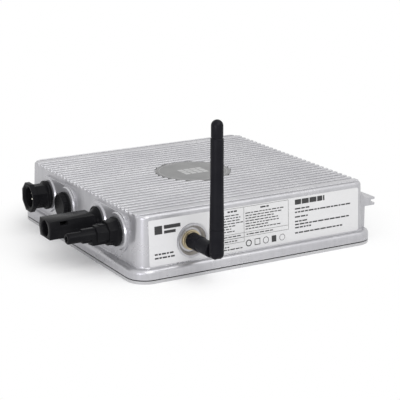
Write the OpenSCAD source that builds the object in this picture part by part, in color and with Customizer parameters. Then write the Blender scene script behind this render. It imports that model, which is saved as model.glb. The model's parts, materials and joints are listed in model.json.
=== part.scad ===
/* [Housing] */
// Length of the flange along the labelled front
flange_l = 288; // [276:1:306]
// Depth of the flange from front to back
flange_d = 284; // [276:1:302]
// Height from the underside to the tops of the ribs
total_h = 66.5; // [65:0.5:76]
// Thickness of the flange round the foot of the walls
flange_t = 9.6; // [8:0.2:11]
// How far the flange stands out past the foot of the walls
flange_reach = 7.5; // [6:0.5:9]
// Radius of the flange's upper edge
flange_edge_r = 4; // [1:0.2:5]
// Lean of the walls in degrees, as the mould needs it
wall_lean = 2.7; // [1.5:0.1:3]
// Thickness of the walls
wall_t = 3.5; // [3:0.25:4.5]
// Thickness of the roof under the ribs
roof_t = 4; // [3:0.25:5]
// Corner radius of the walls at their foot
wall_r = 13; // [11:0.5:17]
// Radius of the edge between walls and roof
roof_edge_r = 3.5; // [2:0.25:4]
// Radius of the hollow where the walls meet the flange
foot_fillet_r = 1; // [0.6:0.2:2]

/* [Ribs] */
// Distance from one rib to the next
rib_pitch = 8.6; // [7.6:0.1:12]
// Width of the grooves between the ribs, at mid depth
groove_w = 4.2; // [3:0.1:4.6]
// Height of the ribs above the grooves
rib_h = 2.2; // [1.6:0.1:2.6]
// Radius along the ribs' upper edges
rib_edge_r = 1.2; // [0.6:0.1:1.4]
// Plain strip between the last groove and the front or back edge
rib_strip = 19.5; // [14:0.5:30]
// Width of the lip outside the groove along the front and back edges
lip_w = 6; // [5.6:0.2:7]
// Diameter of the round field between the ribs
disc_d = 83; // [60:1:110]
// Thickness of the round plate in that field
disc_t = 0.8; // [0.4:0.1:1.2]

/* [Base] */
// Thickness of the base plate
base_t = 3; // [2.5:0.25:4]
// Thickness of the gasket
gasket_t = 1.2; // [0.8:0.1:2]
// How far the gasket lies back from the flange's edge
gasket_setback = 1.4; // [1:0.2:3]
// Distance of the base screws from the flange's edge
screw_inset = 13.5; // [13:0.5:16]
// Thread diameter of the base screws
screw_d = 4; // [3:0.5:5]
// Length of the base screws
screw_l = 14; // [12:1:18]

/* [Label] */
// Height of the label's lower edge above the flange
label_low = 1.2; // [1.1:0.1:3]
// Distance of the label's upper edge below the round edge of the roof
label_drop = 1.55; // [1:0.05:8]
// Distance of the label's ends from the ends of the flange
label_end = 18.5; // [18:0.5:24]
// Thickness of the label
label_t = 0.4; // [0.2:0.1:0.6]

/* [Connectors] */
// How far the pads stand out past the foot of the left wall
pad_proud = 0.7; // [0.5:0.1:2]
// How far the round bosses stand out past the pads
boss_proud = 1.5; // [1:0.1:2.5]
// Radius of the bosses at their foot
boss_r = 19.5; // [17:0.25:20]
// Middle of the mains pair, behind the centre
mains_pair_y = 54.75; // [50:0.25:60]
// Distance between the mains inlet and outlet
mains_pitch = 47.5; // [42:0.5:52]
// Depth of the mains axes below the rib tops
mains_drop = 27; // [24.5:0.5:28.5]
// Middle of the panel pair, behind the centre
dc_pair_y = -67.5; // [-72:0.25:-62]
// Distance between the two panel connectors
dc_pitch = 44; // [40:0.5:50]
// Depth of the panel connectors' axes below the rib tops
dc_drop = 24.5; // [24:0.5:28.5]
// Reach of the mains inlet from its boss
inlet_reach = 23.8; // [21:0.2:32]
// Reach of the capped mains outlet from its boss
outlet_reach = 8; // [7:0.2:12]
// Reach of the panel socket from its boss
dc_socket_reach = 57.8; // [50:0.2:66]
// Reach of the panel plug from its boss
dc_plug_reach = 54.3; // [48:0.2:62]
// Radius of the collars at the bosses
collar_r = 15; // [14:0.25:16]
// Thickness of the seals under the collars
seal_t = 1; // [0.6:0.1:1.6]
// Thickness of the nuts behind the wall
nut_t = 5; // [4:0.5:6]

/* [Antenna] */
// Distance of the antenna from the left end of the flange
antenna_end = 67; // [60:0.5:74]
// Height of the antenna's socket
antenna_z = 35; // [33:0.5:38]
// Reach of the tilt pin from the front wall
pivot_reach = 47.5; // [45:0.5:56]
// Outer radius of the raised ring round the dish
ring_r = 17.3; // [16.5:0.1:18]
// Depth of the dish below the front wall
dish_depth = 4.5; // [3.5:0.25:6]
// Radius of the coupling nut
coupling_r = 8; // [7.4:0.1:8.4]
// Radius of the mast at the fork
fork_r = 7.1; // [6.8:0.1:8]
// Radius of the mast near its tip
mast_r = 6.4; // [5.8:0.1:6.6]
// Height of the mast above the tilt pin
mast_h = 131; // [110:1:160]
// Thickness of the tongue in the fork
tongue_t = 6; // [5:0.2:7]
// Radius of the tilt pin
pin_r = 1.6; // [1.2:0.1:2]

/* [Electronics] */
// Distance of the board's ends from the ends of the flange
board_end = 31; // [30:0.5:36]
// Distance of the board's long edges from the front and back of the flange
board_side = 30; // [28:0.5:34]
// Thickness of the circuit board
board_t = 1.6; // [1:0.2:2.4]
// Height of the board's underside above the base plate
board_lift = 12.5; // [10:0.5:14]

/* [Hidden] */
$fn = 64;

// Gap between pieces that are screwed or pushed together
fit = 0.1;
// Gap between pieces that turn on each other
run = 0.05;
// Glue between the wall and its label
glue_t = 0.02;
// Small overlap that lets shapes of one piece merge
eps = 0.05;

// Heights of the flange, the walls and the roof
rim_z = base_t + gasket_t;
foot_z = rim_z + flange_t;
roof_z = total_h - rib_h;
ceiling_z = roof_z - roof_t;
corner_x = flange_l / 2 - flange_reach - wall_r;
corner_y = flange_d / 2 - flange_reach - wall_r;
function lean(z) = (z - foot_z) * tan(wall_lean);
function half_l(z) = corner_x + wall_r - lean(z);
function half_d(z) = corner_y + wall_r - lean(z);
cavity_edge_r = 2;

// Axes of the connectors and of the antenna
mains_z = total_h - mains_drop;
dc_z = total_h - dc_drop;
antenna_x = antenna_end - flange_l / 2;

// Connector planes on the left wall, as distances from the centre
pad_x = half_l(foot_z) + pad_proud;
seat_x = pad_x + boss_proud;
inner_x = half_l(dc_z + boss_r) - wall_t - 0.8;
grip = seat_x - inner_x;
inlet_y = mains_pair_y + mains_pitch / 2;
outlet_y = mains_pair_y - mains_pitch / 2;
socket_y = dc_pair_y + dc_pitch / 2;
plug_y = dc_pair_y - dc_pitch / 2;
mains_shank_r = 11;
dc_shank_r = 9.5;
shank_l = grip + nut_t + 1.5;
pad_margin = 19;
pad_corner_r = 14;
boss_top_r = boss_r - 1.2;

// Planes of the antenna's socket, measured outwards from the front wall
front_y = half_d(antenna_z);
ring_proud = 1.2;
dish_floor = -dish_depth;
dish_wall = 3.5;
dish_r = 11;
jack_r = 5.2;
jack_flange_r = 8.6;
jack_flange_t = 2;
washer_t = 0.6;
jack_nut_t = 3;
coupling_start = dish_floor + washer_t + jack_flange_t + 0.3;
coupling_end = pivot_reach - 29.7;
stem_r = 3.6;
stem_collar_r = 4.6;
neck_r = 7.5;
neck_end = pivot_reach - fork_r - 1.9;
slot_gap = 0.3;
cap_t = 16.5;
seam_z = 23.7;
spigot_r = 4.6;
spigot_h = 10;
plug_r = 3.5;
rod_r = 1.2;

// Board, its level and the place of its posts
board_l = flange_l - 2 * board_end;
board_d = flange_d - 2 * board_side;
board_z = base_t + board_lift;
deck_z = board_z + board_t;
post_x = board_l / 2 - 13;
post_y = board_d / 2 - 12;
post_r = 4;
board_screw_r = 1.5;
board_screw_deep = 8;

// Rail that takes the transistors' heat
rail_y = 84;
rail_t = 10;
rail_l = 150;
rail_low = deck_z + 8;
transistor_w = 15.6;
transistor_h = 20;
transistor_t = 4.8;
transistor_step = 22;
transistor_n = 6;
transistor_z = rail_low + 2;
pad_t = 0.5;
clamp_t = 3;
clamp_w = 8;
clamp_z = transistor_z + transistor_h / 2;
clamp_y = rail_y - pad_t - transistor_t - clamp_t;
clamp_screw_deep = 7;
row_w = (transistor_n - 1) * transistor_step + transistor_w;

// Lugs on the right wall
lug_l = 40;
lug_h = 9;
lug_reach = 16.5;
lug_z = 37;
lug_end = flange_d / 2 - 16;
groove_h = 3.8;
groove_d = 5;
web_t = 3.6;

base_screw_x = flange_l / 2 - screw_inset;
base_screw_y = flange_d / 2 - screw_inset;
base_post_r = screw_d / 2 + 3;
blind_t = 2;
base_screw_places = [
    for (x = [-1, 0, 1], s = [-1, 1]) [x * base_screw_x * 0.86, s * base_screw_y],
    for (y = [-0.42, 0.42], s = [-1, 1]) [s * base_screw_x, y * base_screw_y]];
screw_head_r = screw_d;
screw_head_t = screw_d / 2;
screw_sink = 0.2;

module round_rect(l, w, r) {
    square([l, w - 2 * r], center = true);
    square([l - 2 * r, w], center = true);
    for (x = [-1, 1], y = [-1, 1])
        translate([x * (l / 2 - r), y * (w / 2 - r)]) circle(r);
}

// Moves a shape drawn upwards to a seat on the left wall, pointing outwards
module on_left(y, z) {
    translate([-seat_x, y, z]) rotate([0, -90, 0]) children();
}

// Moves a shape drawn upwards to the antenna's axis, pointing out of the front
module on_front() {
    translate([antenna_x, -front_y, antenna_z]) rotate([90, 0, 0]) children();
}

module tube(r_out, r_in, z0, z1) {
    difference() {
        translate([0, 0, z0]) cylinder(r = r_out, h = z1 - z0);
        translate([0, 0, z0 - 1]) cylinder(r = r_in, h = z1 - z0 + 2);
    }
}

// Block with leaning walls, round corners and a rounded upper edge
module drafted_block(inset, z0, z1, edge_r) {
    hull() for (x = [-1, 1], y = [-1, 1])
        translate([x * corner_x, y * corner_y, 0]) {
            translate([0, 0, z0]) cylinder(r = wall_r - inset - lean(z0), h = 0.01, $fn = 48);
            translate([0, 0, z1 - edge_r])
                rotate_extrude($fn = 48)
                    translate([wall_r - inset - lean(z1 - edge_r) - edge_r, 0])
                        intersection() {
                            circle(edge_r, $fn = 24);
                            translate([0, -edge_r]) square(2 * edge_r);
                        }
        }
}

module flange_block() {
    r = wall_r + flange_reach;
    hull() for (x = [-1, 1], y = [-1, 1])
        translate([x * corner_x, y * corner_y, rim_z]) {
            cylinder(r = r, h = 1, $fn = 64);
            translate([0, 0, flange_t - flange_edge_r])
                rotate_extrude($fn = 64)
                    translate([r - flange_edge_r, 0])
                        intersection() {
                            circle(flange_edge_r, $fn = 24);
                            translate([0, -flange_edge_r]) square(2 * flange_edge_r);
                        }
        }
}

// Hollow between wall and flange, as a section that runs round the foot
module fillet_section() {
    difference() {
        translate([-1, -1]) square(foot_fillet_r + 1);
        translate([foot_fillet_r, foot_fillet_r]) circle(foot_fillet_r);
    }
}

module foot_fillet() {
    translate([0, 0, foot_z]) for (s = [0, 180]) rotate(s) {
        translate([corner_x + wall_r, -corner_y, 0]) rotate([90, 0, 180])
            linear_extrude(2 * corner_y) mirror([1, 0]) fillet_section();
        translate([-corner_x, corner_y + wall_r, 0]) rotate([90, 0, 90])
            linear_extrude(2 * corner_x) fillet_section();
        for (x = [-1, 1]) translate([x * corner_x, corner_y, 0])
            rotate(x > 0 ? 0 : 90) rotate_extrude(angle = 90) translate([wall_r, 0]) fillet_section();
    }
}

// Section of the groove between two ribs, with its mouth at height 0
module groove_section() {
    floor_r = 1;
    flare = groove_w / 2 + rib_edge_r;
    translate([-groove_w / 2, floor_r - rib_h]) square([groove_w, rib_h - floor_r + 1]);
    translate([floor_r - groove_w / 2, -rib_h]) square([groove_w - 2 * floor_r, rib_h]);
    for (x = [-1, 1]) translate([x * (groove_w / 2 - floor_r), floor_r - rib_h]) circle(floor_r);
    difference() {
        translate([-flare, -rib_edge_r]) square([2 * flare, rib_edge_r + 1]);
        for (x = [-1, 1]) translate([x * flare, -rib_edge_r]) circle(rib_edge_r);
        for (x = [-1, 1]) translate([x * (flare + 1) - 1, -rib_edge_r]) square([2, rib_edge_r]);
    }
}

module rib_grooves() {
    n = floor((half_d(total_h) - rib_strip) / rib_pitch);
    lip_y = half_d(total_h) - lip_w;
    for (y = [for (i = [-n : n]) i * rib_pitch, -lip_y, lip_y])
        translate([-flange_l / 2, y, total_h])
            rotate([90, 0, 90]) linear_extrude(flange_l) groove_section();
}

module pad(y, z, pitch) {
    l = pitch + 2 * pad_margin;
    h = min(2 * boss_r + 1, 2 * (total_h - roof_edge_r - z));
    translate([-half_l(z) + wall_t / 2, y, z]) rotate([0, -90, 0])
        linear_extrude(pad_x - half_l(z) + wall_t / 2) round_rect(h, l, pad_corner_r);
}

// Round boss outside the wall and its flat seat inside
module connector_boss(y, z) {
    on_left(y, z) {
        translate([0, 0, -boss_proud - 2]) cylinder(r = boss_r, h = 2 + eps);
        translate([0, 0, -boss_proud]) cylinder(r1 = boss_r, r2 = boss_top_r, h = boss_proud);
        translate([0, 0, -grip]) cylinder(r = boss_r - 1.5, h = grip - 2);
    }
}

// Grooved lug with its web, in the section seen from the front
module lug_section() {
    x0 = half_l(foot_z) - 1.5;
    tip = half_l(foot_z) + lug_reach;
    web_x = half_l(foot_z) + web_t;
    difference() {
        polygon([[x0 - lean(lug_z), foot_z - 1], [web_x, foot_z - 1], [web_x, lug_z], [tip - 0.6, lug_z],
            [tip, lug_z + 0.6], [tip, lug_z + lug_h - 0.6], [tip - 0.6, lug_z + lug_h],
            [web_x + 1.5, lug_z + lug_h], [web_x - 1, lug_z + lug_h + 1.2],
            [half_l(lug_z + lug_h + 7) + 0.4, lug_z + lug_h + 7],
            [x0 - lean(lug_z + lug_h + 9), lug_z + lug_h + 9]]);
        translate([tip - groove_d, lug_z + (lug_h - groove_h) / 2]) square([groove_d + 1, groove_h]);
    }
}

module lugs() {
    for (s = [0, 1]) mirror([0, s, 0])
        translate([0, -lug_end + lug_l, 0]) rotate([90, 0, 0]) linear_extrude(lug_l) lug_section();
}

module inner_posts() {
    for (x = [-1, 1], y = [-1, 0, 1])
        translate([x * post_x, y * post_y, deck_z]) cylinder(r = post_r, h = ceiling_z - deck_z + 1);
    for (p = base_screw_places)
        translate([p[0], p[1], rim_z]) cylinder(r = base_post_r, h = screw_l + blind_t);
    translate([-rail_l / 2, rail_y, rail_low]) cube([rail_l, rail_t, ceiling_z - rail_low + 1]);
}

module housing() color([0.76, 0.76, 0.75]) {
    difference() {
        union() {
            difference() {
                union() {
                    drafted_block(0, foot_z - 1, total_h, roof_edge_r);
                    flange_block();
                    foot_fillet();
                    pad(mains_pair_y, mains_z, mains_pitch);
                    pad(dc_pair_y, dc_z, dc_pitch);
                    lugs();
                    on_front() translate([0, 0, -wall_t / 2])
                        cylinder(r = ring_r, h = ring_proud + wall_t / 2);
                }
                drafted_block(wall_t, rim_z - 1, ceiling_z, cavity_edge_r);
                rib_grooves();
                translate([0, 0, roof_z]) cylinder(d = disc_d + 1, h = rib_h + 1);
            }
            for (c = [[inlet_y, mains_z], [outlet_y, mains_z], [socket_y, dc_z], [plug_y, dc_z]])
                connector_boss(c[0], c[1]);
            on_front() translate([0, 0, dish_floor - dish_wall])
                cylinder(r = ring_r - 1, h = dish_wall + dish_depth - wall_t / 2);
            inner_posts();
        }
        for (y = [inlet_y, outlet_y]) on_left(y, mains_z)
            translate([0, 0, -grip - 1]) cylinder(r = mains_shank_r + fit, h = grip + 2);
        for (y = [socket_y, plug_y]) on_left(y, dc_z)
            translate([0, 0, -grip - 1]) cylinder(r = dc_shank_r + fit, h = grip + 2);
        on_front() {
            translate([0, 0, dish_floor])
                cylinder(r1 = dish_r, r2 = ring_r - 1.8, h = dish_depth + ring_proud + eps);
            translate([0, 0, dish_floor - dish_wall - 1]) cylinder(r = jack_r + fit, h = dish_wall + 2);
        }
        for (p = base_screw_places)
            translate([p[0], p[1], rim_z - 1]) cylinder(r = screw_d / 2 + run, h = screw_l + 1);
        for (x = [-1, 1], y = [-1, 0, 1])
            translate([x * post_x, y * post_y, deck_z - 1])
                cylinder(r = board_screw_r + run, h = board_screw_deep + 3);
        at_clamp_screws(rail_y - 1) cylinder(r = board_screw_r + run, h = clamp_screw_deep + 2);
    }
}

module plate_outline(inset) {
    round_rect(flange_l - 2 * inset, flange_d - 2 * inset, wall_r + flange_reach - inset);
}

module base_plate() color([0.72, 0.72, 0.72]) {
    difference() {
        linear_extrude(base_t) plate_outline(0);
        for (p = base_screw_places) translate([p[0], p[1], 0]) {
            translate([0, 0, -1]) cylinder(r = screw_d / 2 + 0.25, h = base_t + 2);
            translate([0, 0, screw_sink])
                cylinder(r1 = screw_head_r + fit, r2 = screw_d / 2 + fit, h = screw_head_t);
            translate([0, 0, -1]) cylinder(r = screw_head_r + fit, h = 1 + screw_sink + eps);
        }
    }
}

module base_gasket() color([0.12, 0.12, 0.13]) {
    translate([0, 0, base_t]) difference() {
        linear_extrude(gasket_t) difference() {
            plate_outline(gasket_setback);
            plate_outline(screw_inset + base_post_r);
        }
        for (p = base_screw_places) translate([p[0], p[1], -1])
            cylinder(r = screw_d / 2 + 0.3, h = gasket_t + 2);
    }
}

module base_screws() color([0.7, 0.7, 0.72]) {
    for (p = base_screw_places) translate([p[0], p[1], screw_sink]) difference() {
        union() {
            cylinder(r = screw_d / 2, h = screw_l);
            cylinder(r1 = screw_head_r, r2 = screw_d / 2, h = screw_head_t);
        }
        translate([0, 0, -1]) cylinder(r = screw_d * 0.32, h = 2.2, $fn = 6);
    }
}

module front_label() color([0.85, 0.85, 0.86]) {
    low = foot_z + label_low;
    label_h = (total_h - roof_edge_r - label_drop - low) / cos(wall_lean);
    l = flange_l - 2 * label_end;
    difference() {
        translate([0, -half_d(low) - glue_t, low]) rotate([90 - wall_lean, 0, 0])
            translate([0, label_h / 2, 0]) linear_extrude(label_t) round_rect(l, label_h, 2);
        on_front() translate([0, 0, -3]) cylinder(r = ring_r + 0.3, h = 8);
    }
}

module top_disc() color([0.6, 0.6, 0.6]) {
    translate([0, 0, roof_z]) cylinder(d = disc_d - 1, h = disc_t, $fn = 128);
}

// Flat ring between a boss and a collar
module wall_seal(shank_r) {
    tube(collar_r - 1, shank_r + fit, 0, seal_t);
}

// Nut on a shank, against the inside of the wall
module wall_nut(shank_r) {
    translate([0, 0, -grip - nut_t]) difference() {
        intersection() {
            cylinder(r = (shank_r + 4) * 1.1547, h = nut_t, $fn = 6);
            cylinder(r = shank_r + 4.9, h = nut_t);
        }
        translate([0, 0, -1]) cylinder(r = shank_r + run, h = nut_t + 2);
    }
}

// Shank through the wall, collar on its seal and flare towards the body
module collar(shank_r, body_r, flare_l) {
    z0 = seal_t;
    translate([0, 0, -shank_l]) cylinder(r = shank_r, h = shank_l + z0);
    rotate_extrude() polygon([
        [0, z0], [collar_r - 0.5, z0], [collar_r, z0 + 0.5], [collar_r, z0 + 1.8],
        for (a = [0 : 10 : 90]) [body_r + (collar_r - 0.6 - body_r) * (1 - sin(a)),
            z0 + 2.2 + (flare_l - 2.2) * (1 - cos(a))],
        [0, z0 + flare_l]]);
}

module mains_inlet_body() color([0.08, 0.08, 0.09]) {
    body_r = 12.4;
    mouth_t = 4.2;
    floor_z = 8;
    on_left(inlet_y, mains_z) difference() {
        union() {
            collar(mains_shank_r, body_r, 5);
            translate([0, 0, seal_t + 4]) cylinder(r = body_r, h = inlet_reach - seal_t - 5);
            for (a = [20, 65, 115, 160, 200, 245, 295, 340]) rotate(a)
                translate([body_r - 1, -1.2, 5]) cube([1.9, 2.4, inlet_reach - mouth_t - 5 + eps]);
            translate([0, 0, inlet_reach - mouth_t]) intersection() {
                rotate(22.5) cylinder(r = 16.6, h = mouth_t, $fn = 8);
                cylinder(r = 15.9, h = mouth_t);
            }
        }
        translate([0, 0, floor_z]) cylinder(r = 10.6, h = inlet_reach);
        translate([0, 0, inlet_reach - 2]) cylinder(r1 = 10.6, r2 = 12.6, h = 2 + eps);
        translate([0, 0, -shank_l - 1]) cylinder(r = 8.5, h = shank_l + 2);
        translate([0, 0, -1]) cylinder(r = 7, h = floor_z + 2);
    }
}

// Pin places of the mains contacts, one in the middle and four round it
mains_contacts = [[0, 0], for (a = [45, 135, 225, 315]) [5 * cos(a), 5 * sin(a)]];
inlet_pin_r = 1.2;
outlet_contact_r = 1.8;
inlet_pin_back = 6;
outlet_pin_back = 14;
pin_back = 3;

module mains_inlet_insert() color([0.2, 0.2, 0.21]) {
    on_left(inlet_y, mains_z) difference() {
        union() {
            translate([0, 0, 8]) cylinder(r = 10.5, h = 2.5);
            translate([0, 0, -4]) cylinder(r = 6.9, h = 12 + eps);
        }
        for (p = mains_contacts) translate([p[0], p[1], -5]) cylinder(r = inlet_pin_r, h = 18);
    }
}

module mains_inlet_pins() color([0.8, 0.7, 0.4]) {
    on_left(inlet_y, mains_z) for (p = mains_contacts) translate([p[0], p[1], -inlet_pin_back]) {
        cylinder(r = inlet_pin_r, h = inlet_reach - 1);
        translate([0, 0, inlet_reach - 1]) sphere(inlet_pin_r);
    }
}

module mains_inlet_seal() color([0.1, 0.1, 0.1]) on_left(inlet_y, mains_z) wall_seal(mains_shank_r);

module mains_inlet_nut() color([0.1, 0.1, 0.11]) on_left(inlet_y, mains_z) wall_nut(mains_shank_r);

module mains_outlet_body() color([0.09, 0.09, 0.1]) {
    on_left(outlet_y, mains_z) difference() {
        union() {
            translate([0, 0, -shank_l]) cylinder(r = mains_shank_r, h = shank_l + seal_t);
            translate([0, 0, seal_t]) cylinder(r = collar_r - 0.8, h = 1.6);
            translate([0, 0, seal_t]) cylinder(r = 11.4, h = outlet_reach - seal_t - 2.2);
        }
        translate([0, 0, -2]) cylinder(r = 9.6, h = outlet_reach + 4);
        translate([0, 0, -shank_l - 1]) cylinder(r = 8.5, h = shank_l - 8);
        for (p = mains_contacts) translate([p[0], p[1], -shank_l])
            cylinder(r = outlet_contact_r + fit, h = shank_l);
    }
}

module mains_outlet_contacts() color([0.8, 0.7, 0.4]) {
    l = outlet_pin_back + outlet_reach - 7;
    on_left(outlet_y, mains_z) for (p = mains_contacts) translate([p[0], p[1], -outlet_pin_back])
        difference() {
            cylinder(r = outlet_contact_r, h = l);
            translate([0, 0, l - 8]) cylinder(r = inlet_pin_r + run, h = 9);
        }
}

cap_grips = 30;

module mains_outlet_cap() color([0.1, 0.1, 0.11]) {
    z0 = seal_t + 1.6 + 0.1;
    on_left(outlet_y, mains_z) difference() {
        union() {
            translate([0, 0, z0]) cylinder(r = 13, h = outlet_reach - z0 - 0.8);
            translate([0, 0, outlet_reach - 0.8]) cylinder(r1 = 13, r2 = 12.2, h = 0.8);
            for (i = [0 : cap_grips - 1]) rotate(i * 360 / cap_grips)
                translate([13, 0, z0 + 0.2]) cylinder(r = 0.55, h = outlet_reach - z0 - 1.2);
        }
        translate([0, 0, z0 - 1]) cylinder(r = 11.5, h = outlet_reach - z0 + 1 - 1.8);
    }
}

module mains_outlet_seal() color([0.1, 0.1, 0.1]) on_left(outlet_y, mains_z) wall_seal(mains_shank_r);

module mains_outlet_nut() color([0.1, 0.1, 0.11]) on_left(outlet_y, mains_z) wall_nut(mains_shank_r);

// Turn of the keyed bodies about their axes, seen from the viewer's side
key_turn = -62;
dc_bore_r = 8.6;
dc_floor = 14;
window_back = 22;

// Contacts of the panel pair, from their crimped back to their front
dc_contact_r = 2.5;
dc_pin_r = 2;
dc_pin_l = 24;
dc_pin_start = dc_floor + 7;
dc_barrel_r = 3;
dc_barrel_back = 24;
dc_barrel_deep = 22;

// Eight-sided bar with rounded corners
module keyed_bar(r, z0, z1) {
    intersection() {
        translate([0, 0, z0]) rotate(key_turn + 22.5) cylinder(r = r * 1.055, h = z1 - z0, $fn = 8);
        translate([0, 0, z0]) cylinder(r = r, h = z1 - z0);
    }
}

module dc_socket_body() color([0.08, 0.08, 0.09]) {
    on_left(socket_y, dc_z) difference() {
        union() {
            collar(dc_shank_r, 11.6, 8);
            keyed_bar(11.9, seal_t + 7, dc_socket_reach - 0.8);
            translate([0, 0, dc_socket_reach - 0.8]) cylinder(r1 = 11.2, r2 = 10.8, h = 0.8);
        }
        translate([0, 0, dc_floor]) cylinder(r = dc_bore_r, h = dc_socket_reach);
        translate([0, 0, dc_socket_reach - 1.2]) cylinder(r1 = dc_bore_r, r2 = 9.8, h = 1.2 + eps);
        translate([0, 0, -shank_l - 1]) cylinder(r = dc_contact_r + fit, h = shank_l + dc_floor + 2);
        translate([0, 0, -shank_l - 1]) cylinder(r = 6.5, h = shank_l);
        for (s = [0, 180]) rotate(key_turn + s)
            translate([dc_bore_r - 2, -2.2, dc_socket_reach - window_back - 4]) cube([8, 4.4, 8]);
    }
}

module dc_socket_pin() color([0.78, 0.72, 0.5]) {
    on_left(socket_y, dc_z) {
        translate([0, 0, pin_back - shank_l])
            cylinder(r = dc_contact_r, h = shank_l + dc_pin_start - pin_back);
        translate([0, 0, dc_pin_start]) cylinder(r = dc_pin_r, h = dc_pin_l);
        translate([0, 0, dc_pin_start + dc_pin_l]) sphere(dc_pin_r);
    }
}

module dc_socket_seal() color([0.1, 0.1, 0.1]) on_left(socket_y, dc_z) wall_seal(dc_shank_r);

module dc_socket_nut() color([0.1, 0.1, 0.11]) on_left(socket_y, dc_z) wall_nut(dc_shank_r);

module dc_plug_body() color([0.08, 0.08, 0.09]) {
    ring_end = 12.5;
    block_end = 29.8;
    on_left(plug_y, dc_z) difference() {
        union() {
            collar(dc_shank_r, 12, 5);
            translate([0, 0, seal_t + 4]) cylinder(r = 12, h = ring_end - seal_t - 4.6);
            translate([0, 0, ring_end - 0.6]) cylinder(r1 = 12, r2 = 11.2, h = 0.6);
            keyed_bar(9.3, ring_end - 1, block_end);
            translate([0, 0, block_end - 1]) cylinder(r = 5.5, h = dc_plug_reach - block_end);
            translate([0, 0, dc_plug_reach - 1]) cylinder(r1 = 5.5, r2 = 4.7, h = 1);
            for (s = [0, 180]) rotate(key_turn + s) {
                translate([6.8, -2, block_end - 2]) cube([2, 4, 16]);
                translate([6.8, -2, block_end + 12]) cube([3.2, 4, 2]);
            }
        }
        translate([0, 0, dc_barrel_back - 0.2]) cylinder(r = dc_barrel_r + fit, h = dc_plug_reach);
        translate([0, 0, -shank_l - 1]) cylinder(r = dc_contact_r + fit, h = shank_l + dc_plug_reach);
        translate([0, 0, -shank_l - 1]) cylinder(r = 6.5, h = shank_l);
    }
}

module dc_plug_contact() color([0.78, 0.72, 0.5]) {
    on_left(plug_y, dc_z) difference() {
        union() {
            translate([0, 0, pin_back - shank_l])
                cylinder(r = dc_contact_r, h = shank_l + dc_barrel_back + eps - pin_back);
            translate([0, 0, dc_barrel_back])
                cylinder(r = dc_barrel_r, h = dc_plug_reach - 2 - dc_barrel_back);
        }
        translate([0, 0, dc_plug_reach - dc_barrel_deep]) cylinder(r = dc_pin_r, h = dc_barrel_deep);
    }
}

module dc_plug_seal() color([0.1, 0.1, 0.1]) on_left(plug_y, dc_z) wall_seal(dc_shank_r);

module dc_plug_nut() color([0.1, 0.1, 0.11]) on_left(plug_y, dc_z) wall_nut(dc_shank_r);

jack_front = coupling_start + 9;
jack_back = dish_floor - dish_wall - jack_nut_t - 2;

module antenna_jack() color([0.74, 0.66, 0.42]) {
    on_front() difference() {
        union() {
            translate([0, 0, jack_back]) cylinder(r = jack_r, h = jack_front - jack_back);
            translate([0, 0, dish_floor + washer_t]) cylinder(r = jack_flange_r, h = jack_flange_t);
        }
        translate([0, 0, jack_front - 7]) cylinder(r = 3.8, h = 8);
    }
}

module jack_washer() color([0.12, 0.12, 0.12]) {
    on_front() tube(jack_flange_r - 0.2, jack_r + fit, dish_floor, dish_floor + washer_t);
}

module jack_nut() color([0.74, 0.66, 0.42]) {
    on_front() translate([0, 0, dish_floor - dish_wall - jack_nut_t]) difference() {
        cylinder(r = 9.2, h = jack_nut_t, $fn = 6);
        translate([0, 0, -1]) cylinder(r = jack_r + run, h = jack_nut_t + 2);
    }
}

module coupling_nut() color([0.07, 0.07, 0.08]) {
    shoulder = coupling_end - 2.4;
    on_front() difference() {
        union() {
            translate([0, 0, coupling_start])
                cylinder(r = coupling_r, h = coupling_end - coupling_start - 0.5);
            translate([0, 0, coupling_end - 0.5]) cylinder(r1 = coupling_r, r2 = coupling_r - 0.5, h = 0.5);
        }
        translate([0, 0, coupling_start - 1])
            cylinder(r = jack_r + run, h = jack_front - coupling_start + 1.3);
        translate([0, 0, coupling_start]) cylinder(r = stem_collar_r + run, h = shoulder - coupling_start);
        translate([0, 0, shoulder - 1]) cylinder(r = stem_r + run, h = coupling_end - shoulder + 2);
        for (i = [0 : 23]) rotate(i * 15)
            translate([coupling_r + 0.25, 0, coupling_start + 1]) cylinder(r = 0.6, h = 10);
    }
}

module antenna_neck() color([0.07, 0.07, 0.08]) {
    shoulder = coupling_end - 2.4;
    tongue_r = 6.2;
    on_front() difference() {
        union() {
            translate([0, 0, jack_front + 0.6])
                cylinder(r = stem_collar_r, h = shoulder - jack_front - 0.6 - run);
            translate([0, 0, shoulder - 1]) cylinder(r = stem_r, h = 4);
            translate([0, 0, coupling_end + 0.2]) cylinder(r = neck_r, h = neck_end - coupling_end - 1.4);
            translate([0, 0, neck_end - 1.2]) cylinder(r1 = neck_r, r2 = neck_r - 1, h = 1.2);
            translate([-tongue_t / 2, -tongue_r, neck_end - 2])
                cube([tongue_t, 2 * tongue_r, pivot_reach - neck_end + 2]);
            translate([-tongue_t / 2, 0, pivot_reach])
                rotate([0, 90, 0]) cylinder(r = tongue_r, h = tongue_t);
        }
        translate([-fork_r, 0, pivot_reach]) rotate([0, 90, 0]) cylinder(r = pin_r + run, h = 2 * fork_r);
    }
}

// Moves a shape drawn upwards to the tilt pin, pointing up the mast
module on_pivot() {
    translate([antenna_x, -front_y - pivot_reach, antenna_z]) children();
}

module hinge_pin() color([0.6, 0.6, 0.62]) {
    recess = 0.6;
    on_pivot() translate([recess - fork_r, 0, 0])
        rotate([0, 90, 0]) cylinder(r = pin_r, h = 2 * (fork_r - recess));
}

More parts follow.
